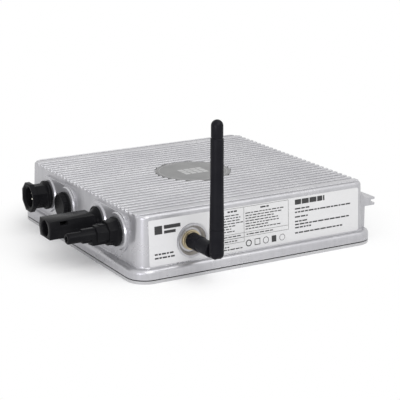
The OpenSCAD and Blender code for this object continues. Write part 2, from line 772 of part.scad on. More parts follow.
// Fork with a slot that is open behind and below, for the tongue
module mast_fork() color([0.07, 0.07, 0.08]) {
    slot_w = tongue_t + 2 * slot_gap;
    clear_r = 6.2 + 0.4;
    on_pivot() difference() {
        union() {
            sphere(fork_r);
            cylinder(r = fork_r, h = seam_z);
            translate([0, 0, seam_z - 1]) cylinder(r = spigot_r, h = spigot_h + 1);
        }
        translate([-slot_w / 2, 0, 0]) {
            rotate([0, 90, 0]) cylinder(r = clear_r, h = slot_w);
            translate([0, 0, -fork_r - 1]) cube([slot_w, fork_r + 1, fork_r + 1 + clear_r]);
            translate([0, -clear_r, -fork_r - 1]) cube([slot_w, fork_r + 1 + clear_r, fork_r + 1]);
        }
        translate([-fork_r, 0, 0]) rotate([0, 90, 0]) cylinder(r = pin_r, h = 2 * fork_r);
        translate([0, 0, seam_z - 3]) cylinder(r = rod_r + fit, h = spigot_h + 5);
    }
}

module mast_sleeve() color([0.07, 0.07, 0.08]) {
    z0 = seam_z + 0.2;
    z1 = mast_h - cap_t - 0.2;
    foot_r = fork_r - 0.05;
    taper_l = 40;
    on_pivot() difference() {
        rotate_extrude() polygon([
            [0, z0], [foot_r - 0.3, z0], [foot_r, z0 + 0.4], [foot_r, z0 + 4],
            [mast_r, z0 + 4 + taper_l], [mast_r, z1 - 1.6], [mast_r - 0.5, z1 - 1.1],
            [mast_r - 0.9, z1 - 1], [mast_r - 0.9, z1], [0, z1]]);
        translate([0, 0, z0 - 1]) cylinder(r = spigot_r + fit, h = spigot_h + 2);
        translate([0, 0, z0]) cylinder(r = plug_r + fit, h = z1);
    }
}

// Cap with a domed end and a plug that sits in the sleeve
module mast_tip() color([0.07, 0.07, 0.08]) {
    z0 = mast_h - cap_t;
    tip_r = mast_r - 0.5;
    dome_z = mast_h - tip_r * 0.6;
    on_pivot() difference() {
        union() {
            translate([0, 0, z0]) cylinder(r = tip_r, h = dome_z - z0);
            intersection() {
                translate([0, 0, dome_z]) sphere(tip_r);
                translate([0, 0, dome_z - 1]) cylinder(r = tip_r + 1, h = mast_h - dome_z + 1);
            }
            translate([0, 0, z0 - 8]) cylinder(r = plug_r, h = 9);
        }
        translate([0, 0, z0 - 9]) cylinder(r = rod_r + fit, h = 7);
    }
}

module antenna_rod() color([0.74, 0.66, 0.42]) {
    on_pivot() translate([0, 0, seam_z - 3]) cylinder(r = rod_r, h = mast_h - cap_t - 2.5 - seam_z + 3);
}

module main_board() color([0.1, 0.35, 0.2]) {
    difference() {
        translate([-board_l / 2, -board_d / 2, board_z]) cube([board_l, board_d, board_t]);
        for (x = [-1, 1], y = [-1, 0, 1]) translate([x * post_x, y * post_y, board_z - 1])
            cylinder(r = board_screw_r + 0.2, h = board_t + 2);
    }
}

// Screws that hold the board from below
module board_screws() color([0.7, 0.7, 0.72]) {
    for (x = [-1, 1], y = [-1, 0, 1]) translate([x * post_x, y * post_y, board_z])
        small_screw(board_t + board_screw_deep);
}

// Screw with its head below height 0
module small_screw(l) {
    cylinder(r = board_screw_r, h = l);
    translate([0, 0, -2]) cylinder(r = board_screw_r + 1.3, h = 2);
}

// Four cans in a row along the left side of the board
can_place = [24 - post_x, 30 - post_y];
can_step = 25;
can_r = 11;
can_room = 7.2;
can_h = ceiling_z - can_room - deck_z;

// Ring choke behind the cans, which lies on its winding
choke_place = [30 - post_x, can_place[1] + 3 * can_step + 35];
choke_r = 17;
choke_hole_r = 9;
choke_h = 14;
wire_t = 1.2;
choke_lift = 2 * wire_t + 0.2;

// Two transformers beside them, each with a core of two halves round one bobbin
transformer_places = [for (y = [36, -26]) [choke_place[0] + 50, y]];
core_l = 52;
core_w = 26;
core_room = 5.2;
core_h = ceiling_z - core_room - deck_z;
core_leg = 7;
core_post_r = 8;
winding_r = 17;

module transformer_cores() color([0.22, 0.22, 0.24]) {
    for (p = transformer_places) translate([p[0], p[1], deck_z]) difference() {
        translate([-core_l / 2, -core_w / 2, 0]) cube([core_l, core_w, core_h]);
        difference() {
            translate([-core_l / 2 + core_leg, -core_w / 2 - 1, core_leg])
                cube([core_l - 2 * core_leg, core_w + 2, core_h - 2 * core_leg]);
            cylinder(r = core_post_r, h = core_h);
        }
    }
}

module transformer_windings() color([0.75, 0.42, 0.18]) {
    for (p = transformer_places) translate([p[0], p[1], deck_z])
        tube(winding_r, core_post_r + fit, core_leg + fit, core_h - core_leg - fit);
}

module input_capacitors() color([0.15, 0.17, 0.3]) {
    for (i = [0 : 3]) translate([can_place[0], can_place[1] + i * can_step, deck_z]) {
        cylinder(r = can_r, h = can_h);
        translate([0, 0, can_h]) cylinder(r1 = can_r, r2 = can_r - 0.6, h = 0.6);
    }
}

// Three boxed capacitors side by side
film_place = [24, -76];
film_step = 22;
film_size = [15, 32, 25];

module film_capacitors() color([0.85, 0.72, 0.25]) {
    for (i = [0 : 2]) translate([film_place[0] + i * film_step, film_place[1], deck_z]) cube(film_size);
}

module choke_section(grow) {
    translate([choke_hole_r - grow, choke_lift - grow])
        square([choke_r - choke_hole_r + 2 * grow, choke_h + 2 * grow]);
}

module choke_core() color([0.3, 0.45, 0.3]) {
    translate([choke_place[0], choke_place[1], deck_z]) rotate_extrude() choke_section(0);
}

// Two halves of winding, each a sleeve round the ring with ridges for its turns
module choke_winding() color([0.75, 0.42, 0.18]) {
    half_turn = 65;
    ridge = 2 * wire_t - 0.8;
    translate([choke_place[0], choke_place[1], deck_z]) for (s = [0, 180]) rotate(s) difference() {
        union() {
            rotate(-half_turn) rotate_extrude(angle = 2 * half_turn) choke_section(wire_t);
            for (a = [5 - half_turn : 15 : half_turn - 5]) rotate(a)
                translate([choke_hole_r - ridge, -wire_t / 2, 0])
                    cube([choke_r - choke_hole_r + 2 * ridge, wire_t, choke_h + 2 * choke_lift]);
        }
        rotate_extrude() choke_section(fit);
    }
}

// Two relays by the mains side of the board
relay_place = [36, 10];
relay_step = 22;
relay_size = [29, 13, 25];

module relays() color([0.2, 0.24, 0.3]) {
    for (i = [0, 1]) translate([relay_place[0], relay_place[1] + i * relay_step, deck_z]) cube(relay_size);
}

module power_transistors() color([0.12, 0.12, 0.12]) {
    leg_w = 1.2;
    leg_t = 0.6;
    leg_step = 5.4;
    for (i = [0 : transistor_n - 1])
        translate([(i - (transistor_n - 1) / 2) * transistor_step, rail_y - pad_t, transistor_z]) {
            translate([-transistor_w / 2, -transistor_t, 0])
                cube([transistor_w, transistor_t, transistor_h]);
            for (x = [-leg_step, 0, leg_step])
                translate([x - leg_w / 2, -(transistor_t + leg_t) / 2, deck_z - transistor_z])
                    cube([leg_w, leg_t, transistor_z - deck_z + eps]);
        }
}

// Moves a shape drawn upwards to each clamp screw, pointing back from the given depth
module at_clamp_screws(y) {
    for (i = [0 : transistor_n - 2])
        translate([(i - transistor_n / 2 + 1) * transistor_step, y, clamp_z]) rotate([-90, 0, 0]) children();
}

module heat_pad() color([0.7, 0.6, 0.7]) {
    difference() {
        translate([-row_w / 2, rail_y - pad_t, transistor_z]) cube([row_w, pad_t, transistor_h]);
        at_clamp_screws(rail_y - 2) cylinder(r = board_screw_r + 0.5, h = 4);
    }
}

module clamp_bar() color([0.7, 0.7, 0.7]) {
    difference() {
        translate([-row_w / 2, clamp_y, clamp_z - clamp_w / 2]) cube([row_w, clamp_t, clamp_w]);
        at_clamp_screws(clamp_y - 1) cylinder(r = board_screw_r + 0.2, h = clamp_t + 2);
    }
}

module clamp_screws() color([0.7, 0.7, 0.72]) {
    at_clamp_screws(clamp_y) small_screw(rail_y + clamp_screw_deep - clamp_y);
}

chip_place = [23, -17];
chip_w = 14;

module controller_chip() color([0.1, 0.1, 0.11]) {
    translate([chip_place[0], chip_place[1], deck_z]) cube([chip_w, chip_w, 1.4]);
}

// Small board behind the antenna, with a shield can on it
radio_t = 1;
radio_l = 32;
radio_w = 24;
radio_y = 2 - board_d / 2;

module radio_board() color([0.12, 0.3, 0.4]) {
    translate([antenna_x - radio_l / 2, radio_y, deck_z]) {
        cube([radio_l, radio_w, radio_t]);
        translate([5, 9, radio_t - eps]) cube([radio_l - 10, radio_w - 11, 2.4]);
    }
}

// Insulated lead that runs along X, bends and goes down by a given drop
module lead(r, run_l, drop) {
    bend = 3 * r;
    rotate([0, 90, 0]) cylinder(r = r, h = run_l);
    translate([run_l, 0, -bend]) rotate([90, 0, 0])
        rotate_extrude(angle = 90) translate([bend, 0]) circle(r);
    translate([run_l + bend, 0, -drop]) cylinder(r = r, h = drop - bend);
}

// Distance of the leads' feet from the left edge of the board
lead_inset = 3;
dc_lead_r = 2.2;
mains_lead_r = 1;
antenna_lead_r = 0.9;
lead_foot_x = -board_l / 2 + lead_inset;

module dc_leads() color([0.15, 0.15, 0.16]) {
    start_x = -seat_x + shank_l - pin_back;
    for (y = [socket_y, plug_y]) translate([start_x, y, dc_z])
        lead(dc_lead_r, lead_foot_x - start_x - 3 * dc_lead_r, dc_z - deck_z);
}

// Upper leads run further in, so that they clear the lower ones on the way down
module mains_leads() color([0.15, 0.15, 0.16]) {
    for (c = [[inlet_y, inlet_pin_back], [outlet_y, outlet_pin_back]], p = mains_contacts)
        translate([-seat_x + c[1], c[0] + p[1], mains_z + p[0]])
            lead(mains_lead_r, lead_foot_x + seat_x - c[1] - 3 * mains_lead_r + (p[0] > 1 ? 5 : 0),
                mains_z + p[0] - deck_z);
}

module antenna_lead() color([0.3, 0.2, 0.15]) {
    translate([antenna_x, -front_y - jack_back, antenna_z]) rotate(90)
        lead(antenna_lead_r, radio_y + 1.5 + front_y + jack_back, antenna_z - deck_z - radio_t);
}

housing();
base_plate();
base_gasket();
base_screws();
front_label();
top_disc();
mains_inlet_body();
mains_inlet_insert();
mains_inlet_pins();
mains_inlet_seal();
mains_inlet_nut();
mains_outlet_body();
mains_outlet_contacts();
mains_outlet_cap();
mains_outlet_seal();
mains_outlet_nut();
dc_socket_body();
dc_socket_pin();
dc_socket_seal();
dc_socket_nut();
dc_plug_body();
dc_plug_contact();
dc_plug_seal();
dc_plug_nut();
antenna_jack();
jack_washer();
jack_nut();
coupling_nut();
antenna_neck();
hinge_pin();
mast_fork();
mast_sleeve();
mast_tip();
antenna_rod();
main_board();
board_screws();
transformer_cores();
transformer_windings();
input_capacitors();
film_capacitors();
choke_core();
choke_winding();
relays();
power_transistors();
heat_pad();
clamp_bar();
clamp_screws();
controller_chip();
radio_board();
dc_leads();
mains_leads();
antenna_lead();
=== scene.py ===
"""Looks of the solar microinverter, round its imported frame."""

import json
import math
import random

import bpy
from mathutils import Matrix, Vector


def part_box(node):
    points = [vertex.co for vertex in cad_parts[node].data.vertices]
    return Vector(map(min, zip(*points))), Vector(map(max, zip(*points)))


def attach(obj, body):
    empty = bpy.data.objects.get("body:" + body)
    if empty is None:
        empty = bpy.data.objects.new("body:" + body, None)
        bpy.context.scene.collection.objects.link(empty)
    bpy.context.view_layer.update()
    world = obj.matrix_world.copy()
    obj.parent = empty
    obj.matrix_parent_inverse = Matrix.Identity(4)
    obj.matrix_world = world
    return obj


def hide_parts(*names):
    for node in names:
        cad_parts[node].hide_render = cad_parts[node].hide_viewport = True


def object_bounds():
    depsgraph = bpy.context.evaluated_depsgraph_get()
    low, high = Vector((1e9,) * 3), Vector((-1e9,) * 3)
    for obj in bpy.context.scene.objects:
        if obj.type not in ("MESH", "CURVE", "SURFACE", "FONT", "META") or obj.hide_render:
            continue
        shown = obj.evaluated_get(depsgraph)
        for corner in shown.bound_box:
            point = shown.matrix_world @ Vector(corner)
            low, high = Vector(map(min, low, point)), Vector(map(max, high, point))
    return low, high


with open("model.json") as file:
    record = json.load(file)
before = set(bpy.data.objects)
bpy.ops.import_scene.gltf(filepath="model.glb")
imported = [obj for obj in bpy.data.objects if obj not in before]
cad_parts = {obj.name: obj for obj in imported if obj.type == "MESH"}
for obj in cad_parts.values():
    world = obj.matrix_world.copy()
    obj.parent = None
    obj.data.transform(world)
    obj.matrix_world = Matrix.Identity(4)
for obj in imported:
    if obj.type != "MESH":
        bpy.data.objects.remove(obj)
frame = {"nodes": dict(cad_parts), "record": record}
cad_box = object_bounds()
nodes = frame["nodes"]
MM = 0.001


# Handling of pieces
def deselect():
    for thing in bpy.context.selected_objects:
        thing.select_set(False)
    bpy.context.view_layer.objects.active = None


def only(thing):
    deselect()
    thing.select_set(True)
    bpy.context.view_layer.objects.active = thing


def settle(thing):
    """Puts the place, turn and size of a piece into its mesh."""
    only(thing)
    bpy.ops.object.transform_apply(location=True, rotation=True, scale=True)


def give_name(thing, name):
    thing.name = name
    thing.data.name = name


def joined(things, name):
    deselect()
    for thing in things:
        thing.select_set(True)
    bpy.context.view_layer.objects.active = things[0]
    bpy.ops.object.join()
    whole = bpy.context.object
    give_name(whole, name)
    settle(whole)
    return whole


def copied(piece, step):
    """Copy of a piece, with its own mesh, moved by a step in millimetres."""
    twin = piece.copy()
    twin.data = piece.data.copy()
    bpy.context.collection.objects.link(twin)
    twin.location = Vector(step) * MM
    return twin


def wear(thing, material):
    thing.data.materials.clear()
    thing.data.materials.append(material)


# Camera, as fitted to the edges of the housing
CAMERA_TARGET = Vector((6.505, -4.191, 33.0)) * MM
CAMERA_AZIMUTH = math.radians(-29.98)
CAMERA_HEIGHT = math.radians(15.718)
CAMERA_DISTANCE = 1.4771
SENSOR = 36.0
FOCAL_PIXELS = 1342.4
PICTURE_PIXELS = 400
NEAR_CLIP = 0.05
FAR_CLIP = 60


def place_camera():
    back = Vector((
        math.sin(CAMERA_AZIMUTH) * math.cos(CAMERA_HEIGHT),
        -math.cos(CAMERA_AZIMUTH) * math.cos(CAMERA_HEIGHT),
        math.sin(CAMERA_HEIGHT)))
    bpy.ops.object.camera_add(location=CAMERA_TARGET + back * CAMERA_DISTANCE)
    camera = bpy.context.object
    camera.rotation_euler = (-back).to_track_quat("-Z", "Y").to_euler()
    camera.data.sensor_width = SENSOR
    camera.data.lens = FOCAL_PIXELS / PICTURE_PIXELS * SENSOR
    camera.data.clip_start = NEAR_CLIP
    camera.data.clip_end = FAR_CLIP
    bpy.context.scene.camera = camera


# Steps that the shader trees are made of
def feed(tree, socket, given):
    """Links an output into a socket, or sets a plain value on it."""
    if isinstance(given, bpy.types.NodeSocket):
        tree.links.new(given, socket)
    else:
        socket.default_value = given


def reckoned(tree, operation, first, second, clamped=False):
    step = tree.nodes.new("ShaderNodeMath")
    step.operation = operation
    step.use_clamp = clamped
    feed(tree, step.inputs[0], first)
    feed(tree, step.inputs[1], second)
    return step.outputs[0]


def noise(tree, vector, size, detail, roughness=0.5):
    cloud = tree.nodes.new("ShaderNodeTexNoise")
    cloud.inputs["Detail"].default_value = detail
    cloud.inputs["Roughness"].default_value = roughness
    feed(tree, cloud.inputs["Vector"], vector)
    feed(tree, cloud.inputs["Scale"], size)
    return cloud.outputs["Fac"]


def remapped(tree, value, given=(0.0, 1.0), wanted=(0.0, 1.0), smooth=False):
    """Value carried over from a given range to a wanted one, and held at its ends."""
    span = tree.nodes.new("ShaderNodeMapRange")
    if smooth:
        span.interpolation_type = "SMOOTHSTEP"
    span.inputs["From Min"].default_value, span.inputs["From Max"].default_value = given
    span.inputs["To Min"].default_value, span.inputs["To Max"].default_value = wanted
    feed(tree, span.inputs["Value"], value)
    return span.outputs["Result"]


def blended(tree, share, under, over):
    """Colour between two colours, by the share of the second."""
    mix = tree.nodes.new("ShaderNodeMix")
    mix.data_type = "RGBA"
    feed(tree, mix.inputs["Factor"], share)
    feed(tree, mix.inputs["A"], under)
    feed(tree, mix.inputs["B"], over)
    return mix.outputs["Result"]


def own_place(tree):
    return tree.nodes.new("ShaderNodeTexCoord").outputs["Object"]


# Shader groups that several finishes share
FLOAT = "NodeSocketFloat"
COLOR = "NodeSocketColor"
COARSE_TO_FINE = 0.21
CLOUD_SPREAD = (0.35, 0.65)
EDGE_SAMPLES = 6
EDGE_GAIN = 6.0
STREAK_STRETCH = (1, 1, 0.05)
STREAK_SPREAD = (0.42, 0.72)


def new_group(name, inputs, outputs):
    """Node group with named inputs and outputs; gives its tree and the sockets at its two ends."""
    tree = bpy.data.node_groups.new(name, "ShaderNodeTree")
    for label, kind, value in inputs:
        socket = tree.interface.new_socket(name=label, in_out="INPUT", socket_type=kind)
        socket.default_value = value
    for label, kind in outputs:
        tree.interface.new_socket(name=label, in_out="OUTPUT", socket_type=kind)
    return tree, tree.nodes.new("NodeGroupInput").outputs, tree.nodes.new("NodeGroupOutput").inputs


def grain_group():
    """Fine grain of a cast or moulded surface, as a height."""
    tree, given, result = new_group(
        "surface_grain",
        [("Size", FLOAT, 1500.0), ("Coarse Share", FLOAT, 0.3)],
        [("Height", FLOAT)])
    place = own_place(tree)
    fine = noise(tree, place, given["Size"], 3)
    coarse_size = reckoned(tree, "MULTIPLY", given["Size"], COARSE_TO_FINE)
    coarse = noise(tree, place, coarse_size, 2)
    mix = tree.nodes.new("ShaderNodeMix")
    feed(tree, mix.inputs["Factor"], given["Coarse Share"])
    feed(tree, mix.inputs["A"], fine)
    feed(tree, mix.inputs["B"], coarse)
    feed(tree, result["Height"], mix.outputs["Result"])
    return tree


def cloud_group():
    """Slow change between two tones over a surface."""
    tree, given, result = new_group(
        "cloudy_tone",
        [("Light Tone", COLOR, (1, 1, 1, 1)), ("Dark Tone", COLOR, (0.8, 0.8, 0.8, 1)),
         ("Size", FLOAT, 20.0)],
        [("Color", COLOR), ("Share", FLOAT)])
    cloud = noise(tree, own_place(tree), given["Size"], 5, roughness=0.6)
    share = remapped(tree, cloud, CLOUD_SPREAD)
    feed(tree, result["Color"], blended(tree, share, given["Light Tone"], given["Dark Tone"]))
    feed(tree, result["Share"], share)
    return tree


def edge_wear_and_highlight_group():
    """Mask of the edges that get a worn tone and a painted highlight, from how far a rounded
    normal leaves the true one.
    """
    tree, given, result = new_group(
        "worn_and_highlit_edge", [("Width", FLOAT, 0.0006), ("Reach", FLOAT, 0.6)], [("Mask", FLOAT)])
    rounded = tree.nodes.new("ShaderNodeBevel")
    rounded.samples = EDGE_SAMPLES
    feed(tree, rounded.inputs["Radius"], given["Width"])
    plain = tree.nodes.new("ShaderNodeNewGeometry")
    along = tree.nodes.new("ShaderNodeVectorMath")
    along.operation = "DOT_PRODUCT"
    feed(tree, along.inputs[0], rounded.outputs["Normal"])
    feed(tree, along.inputs[1], plain.outputs["Normal"])
    away = reckoned(tree, "SUBTRACT", 1.0, along.outputs["Value"])
    mask = reckoned(tree, "MULTIPLY", away, EDGE_GAIN, clamped=True)
    feed(tree, result["Mask"], reckoned(tree, "MULTIPLY", mask, given["Reach"]))
    return tree


def streak_group():
    """Mask of faint upright streaks, as cast and wiped walls show."""
    tree, given, result = new_group(
        "upright_streaks", [("Size", FLOAT, 260.0), ("Strength", FLOAT, 0.3)], [("Mask", FLOAT)])
    stretched = tree.nodes.new("ShaderNodeVectorMath")
    stretched.operation = "MULTIPLY"
    feed(tree, stretched.inputs[0], own_place(tree))
    feed(tree, stretched.inputs[1], STREAK_STRETCH)
    streaks = noise(tree, stretched.outputs["Vector"], given["Size"], 4)
    mask = remapped(tree, streaks, STREAK_SPREAD)
    feed(tree, result["Mask"], reckoned(tree, "MULTIPLY", mask, given["Strength"]))
    return tree


GRAIN = grain_group()
CLOUD = cloud_group()
EDGE = edge_wear_and_highlight_group()
STREAK = streak_group()


# Finishes, each from its light and dark tone, its dullness and the grain of its surface, some with
# a lighter edge tone that is partly wear and partly a painted highlight.
# The grain's height is in millimetres and the width of a worn and highlit edge in metres.
LOOKS = {
    "cast_housing": dict(
        light=(0.505, 0.503, 0.52), dark=(0.445, 0.443, 0.462), roughness=0.30, metallic=0.55,
        cloud_size=18, grain_size=2600, grain_height=0.022, coarse=0.35,
        edge_wear_and_highlight_tone=(0.72, 0.72, 0.74), streak_tone=(0.34, 0.34, 0.36)),
    "plate": dict(
        light=(0.54, 0.54, 0.55), dark=(0.48, 0.48, 0.49), roughness=0.30, metallic=0.8,
        cloud_size=12, grain_size=1800, grain_height=0.008,
        edge_wear_and_highlight_tone=(0.80, 0.80, 0.82), edge_width=0.0005),
    "screw_steel": dict(
        light=(0.58, 0.58, 0.60), dark=(0.50, 0.50, 0.52), roughness=0.30, metallic=1.0,
        cloud_size=90, grain_size=5000, grain_height=0.004,
        edge_wear_and_highlight_tone=(0.75, 0.75, 0.77), edge_width=0.0002),
    "label_film": dict(
        light=(0.65, 0.65, 0.65), dark=(0.63, 0.63, 0.635), roughness=0.46, specular=0.4,
        cloud_size=30, grain_size=4000, grain_height=0.004),
    "disc_film": dict(
        light=(0.25, 0.25, 0.25), dark=(0.22, 0.22, 0.22), roughness=0.50, specular=0.3,
        cloud_size=35, grain_size=3500, grain_height=0.006),
    "black_plastic": dict(
        light=(0.010, 0.010, 0.011), dark=(0.007, 0.007, 0.008), roughness=0.24, specular=0.035,
        cloud_size=60, grain_size=3200, grain_height=0.01, coarse=0.5,
        edge_wear_and_highlight_tone=(0.03, 0.03, 0.033), edge_width=0.0004),
    "mast_plastic": dict(
        light=(0.011, 0.011, 0.0135), dark=(0.008, 0.008, 0.0105), roughness=0.38, specular=0.06,
        cloud_size=50, grain_size=3600, grain_height=0.008,
        edge_wear_and_highlight_tone=(0.02, 0.02, 0.025), edge_width=0.0004),
    "grey_plastic": dict(
        light=(0.016, 0.016, 0.017), dark=(0.012, 0.012, 0.013), roughness=0.45, specular=0.3,
        cloud_size=60, grain_size=3200, grain_height=0.01,
        edge_wear_and_highlight_tone=(0.06, 0.06, 0.06), edge_width=0.0003),
    "seal_rubber": dict(
        light=(0.018, 0.018, 0.018), dark=(0.012, 0.012, 0.012), roughness=0.62,
        cloud_size=50, grain_size=2500, grain_height=0.02),
    "brass": dict(
        light=(0.56, 0.49, 0.34), dark=(0.48, 0.41, 0.27), roughness=0.32, metallic=1.0,
        cloud_size=70, grain_size=5000, grain_height=0.004,
        edge_wear_and_highlight_tone=(0.68, 0.62, 0.46), edge_width=0.0002),
    "pin_steel": dict(
        light=(0.045, 0.045, 0.05), dark=(0.03, 0.03, 0.035), roughness=0.35, metallic=1.0,
        cloud_size=90, grain_size=5000, grain_height=0.003),
    "contact_tin": dict(
        light=(0.74, 0.71, 0.62), dark=(0.64, 0.61, 0.52), roughness=0.26, metallic=1.0,
        cloud_size=90, grain_size=5000, grain_height=0.003),
    "board_green": dict(
        light=(0.03, 0.13, 0.05), dark=(0.02, 0.09, 0.035), roughness=0.35,
        cloud_size=40, grain_size=1500, grain_height=0.02),
    "radio_blue": dict(
        light=(0.02, 0.07, 0.12), dark=(0.015, 0.05, 0.09), roughness=0.35,
        cloud_size=60, grain_size=1500, grain_height=0.02),
    "ferrite": dict(
        light=(0.06, 0.06, 0.065), dark=(0.045, 0.045, 0.05), roughness=0.55,
        cloud_size=40, grain_size=1500, grain_height=0.04),
    "copper_wire": dict(
        light=(0.55, 0.20, 0.08), dark=(0.45, 0.15, 0.05), roughness=0.30, metallic=0.8,
        cloud_size=60, grain_size=900, grain_height=0.1),
    "can_sleeve": dict(
        light=(0.03, 0.04, 0.11), dark=(0.025, 0.03, 0.09), roughness=0.30,
        cloud_size=30, grain_size=2500, grain_height=0.006),
    "film_yellow": dict(
        light=(0.62, 0.44, 0.08), dark=(0.54, 0.38, 0.06), roughness=0.35,
        cloud_size=40, grain_size=2500, grain_height=0.01),
    "relay_blue": dict(
        light=(0.04, 0.08, 0.18), dark=(0.03, 0.06, 0.14), roughness=0.40,
        cloud_size=40, grain_size=2500, grain_height=0.01),
    "chip_black": dict(
        light=(0.018, 0.018, 0.018), dark=(0.012, 0.012, 0.012), roughness=0.50,
        cloud_size=60, grain_size=3000, grain_height=0.01),
    "pad_grey": dict(
        light=(0.36, 0.31, 0.37), dark=(0.30, 0.26, 0.31), roughness=0.70,
        cloud_size=40, grain_size=1500, grain_height=0.02),
    "lead_black": dict(
        light=(0.022, 0.022, 0.022), dark=(0.016, 0.016, 0.016), roughness=0.50,
        cloud_size=60, grain_size=2500, grain_height=0.01),
    "lead_brown": dict(
        light=(0.11, 0.055, 0.03), dark=(0.08, 0.04, 0.02), roughness=0.50,
        cloud_size=60, grain_size=2500, grain_height=0.01),
}
DARK_INK_LOOK = dict(
    light=(0.022, 0.022, 0.023), dark=(0.03, 0.03, 0.031), roughness=0.5,
    cloud_size=120, grain_size=4000, grain_height=0.004)
PALE_INK_LOOK = dict(
    light=(0.50, 0.50, 0.50), dark=(0.45, 0.45, 0.45), roughness=0.5,
    cloud_size=120, grain_size=4000, grain_height=0.004)
DULLNESS_SPREAD = 0.05
WIPED_STRENGTH = 0.32


def solid(color):
    return (*color, 1.0)


def add_group(tree, group, **values):
    node = tree.nodes.new("ShaderNodeGroup")
    node.node_tree = group
    for label, value in values.items():
        node.inputs[label.replace("_", " ")].default_value = value
    return node.outputs


def finish(name, light, dark, roughness, cloud_size, grain_size, grain_height, metallic=0.0,
           specular=0.5, coarse=0.3, edge_wear_and_highlight_tone=None, edge_width=0.0006, streak_tone=None):
    """Material of one finish: a cloudy tone, wall streaks, worn edges with a painted highlight and
    a grained surface.
    """
    material = bpy.data.materials.new(name)
    material.use_nodes = True
    tree = material.node_tree
    shader = tree.nodes["Principled BSDF"].inputs
    shader["Metallic"].default_value = metallic
    shader["Specular IOR Level"].default_value = specular
    cloud = add_group(
        tree, CLOUD, Light_Tone=solid(light), Dark_Tone=solid(dark), Size=cloud_size)
    color = cloud["Color"]
    if streak_tone:
        streaks = add_group(tree, STREAK, Strength=WIPED_STRENGTH)
        color = blended(tree, streaks["Mask"], color, solid(streak_tone))
    # Lighter tone on the edges: partly wear, partly a painted highlight where light catches them.
    if edge_wear_and_highlight_tone:
        edge = add_group(tree, EDGE, Width=edge_width)
        color = blended(tree, edge["Mask"], color, solid(edge_wear_and_highlight_tone))
    feed(tree, shader["Base Color"], color)
    dullness = (roughness - DULLNESS_SPREAD, roughness + DULLNESS_SPREAD)
    feed(tree, shader["Roughness"], remapped(tree, cloud["Share"], wanted=dullness))
    grain = add_group(tree, GRAIN, Size=grain_size, Coarse_Share=coarse)
    bump = tree.nodes.new("ShaderNodeBump")
    bump.inputs["Strength"].default_value = 1.0
    bump.inputs["Distance"].default_value = grain_height * MM
    feed(tree, bump.inputs["Height"], grain["Height"])
    feed(tree, shader["Normal"], bump.outputs["Normal"])
    return material


FINISHES = {slot: finish(slot, **look) for slot, look in LOOKS.items()}
PRINT_INK = finish("print_ink", **DARK_INK_LOOK)
PALE_INK = finish("pale_ink", **PALE_INK_LOOK)


def dress_nodes():
    """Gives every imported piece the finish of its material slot."""
    for part in frame["record"]["subparts"]:
        wear(nodes[part["node"]], FINISHES[part["material_slot"]])


# Print, in millimetres along a sheet and up it
INK_PROUD = 0.03
WORD_GAP = 0.9
SHORTEST_WORD = 0.35
RULE = 0.35
RING_SIDES = 48


class Print:
    """Flat marks on one sheet, modelled lying down."""

    def __init__(self, seed):
        self.marks = []
        self.dice = random.Random(seed)

    def bar(self, u, v, width, height):
        """Bar with its lower left corner at u, v."""
        bpy.ops.mesh.primitive_cube_add(
            size=MM, location=((u + width / 2) * MM, (v + height / 2) * MM, 0),
            scale=(width, height, 2 * INK_PROUD))
        self.marks.append(bpy.context.object)

    def line(self, u, v, length, height, longest):
        """Row of short bars, as a line of words looks from a distance."""
        end = u + length
        while u < end - 1:
            width = min(self.dice.uniform(SHORTEST_WORD, 1.0) * longest, end - u)
            self.bar(u, v, width, height)
            u += width + WORD_GAP

    def box(self, u, v, width, height, rule=RULE):
        """Ruled outline of a box with its lower left corner at u, v."""
        for low in (v, v + height - rule):
            self.bar(u, low, width, rule)
        for side in (u, u + width - rule):
            self.bar(side, v + rule, rule, height - 2 * rule)

    def ring(self, u, v, radius, rule):
        """Flat ring round the point u, v."""
        bpy.ops.mesh.primitive_cylinder_add(
            vertices=RING_SIDES, radius=radius * MM, depth=2 * INK_PROUD * MM,
            end_fill_type="NGON", location=(u * MM, v * MM, 0))
        disc = bpy.context.object
        bpy.ops.object.mode_set(mode="EDIT")
        bpy.ops.mesh.select_mode(type="FACE")
        bpy.ops.mesh.select_all(action="DESELECT")
        bpy.ops.object.mode_set(mode="OBJECT")
        for face in disc.data.polygons:
            face.select = abs(face.normal.z) > 0.9
        bpy.ops.object.mode_set(mode="EDIT")
        bpy.ops.mesh.inset(thickness=rule * MM)
        bpy.ops.mesh.bridge_edge_loops()
        bpy.ops.object.mode_set(mode="OBJECT")
        self.marks.append(disc)


# The label leans back with the wall that it covers; u runs along X, and v up from its lower edge
LABEL_LEAN = math.radians(2.7)
TABLE_ROWS = [(26, 46), (27, 44), (26, 34), (30, 39), (22, 40), (16, 28), (20, 42)]
TABLE_TOP = 38.0
TABLE_PITCH = 2.75
NOTE_ROWS = [(33.6, 18), (30.0, 70), (25.0, 16), (20.2, 15), (16.9, 69), (13.6, 20), (8.0, 60)]


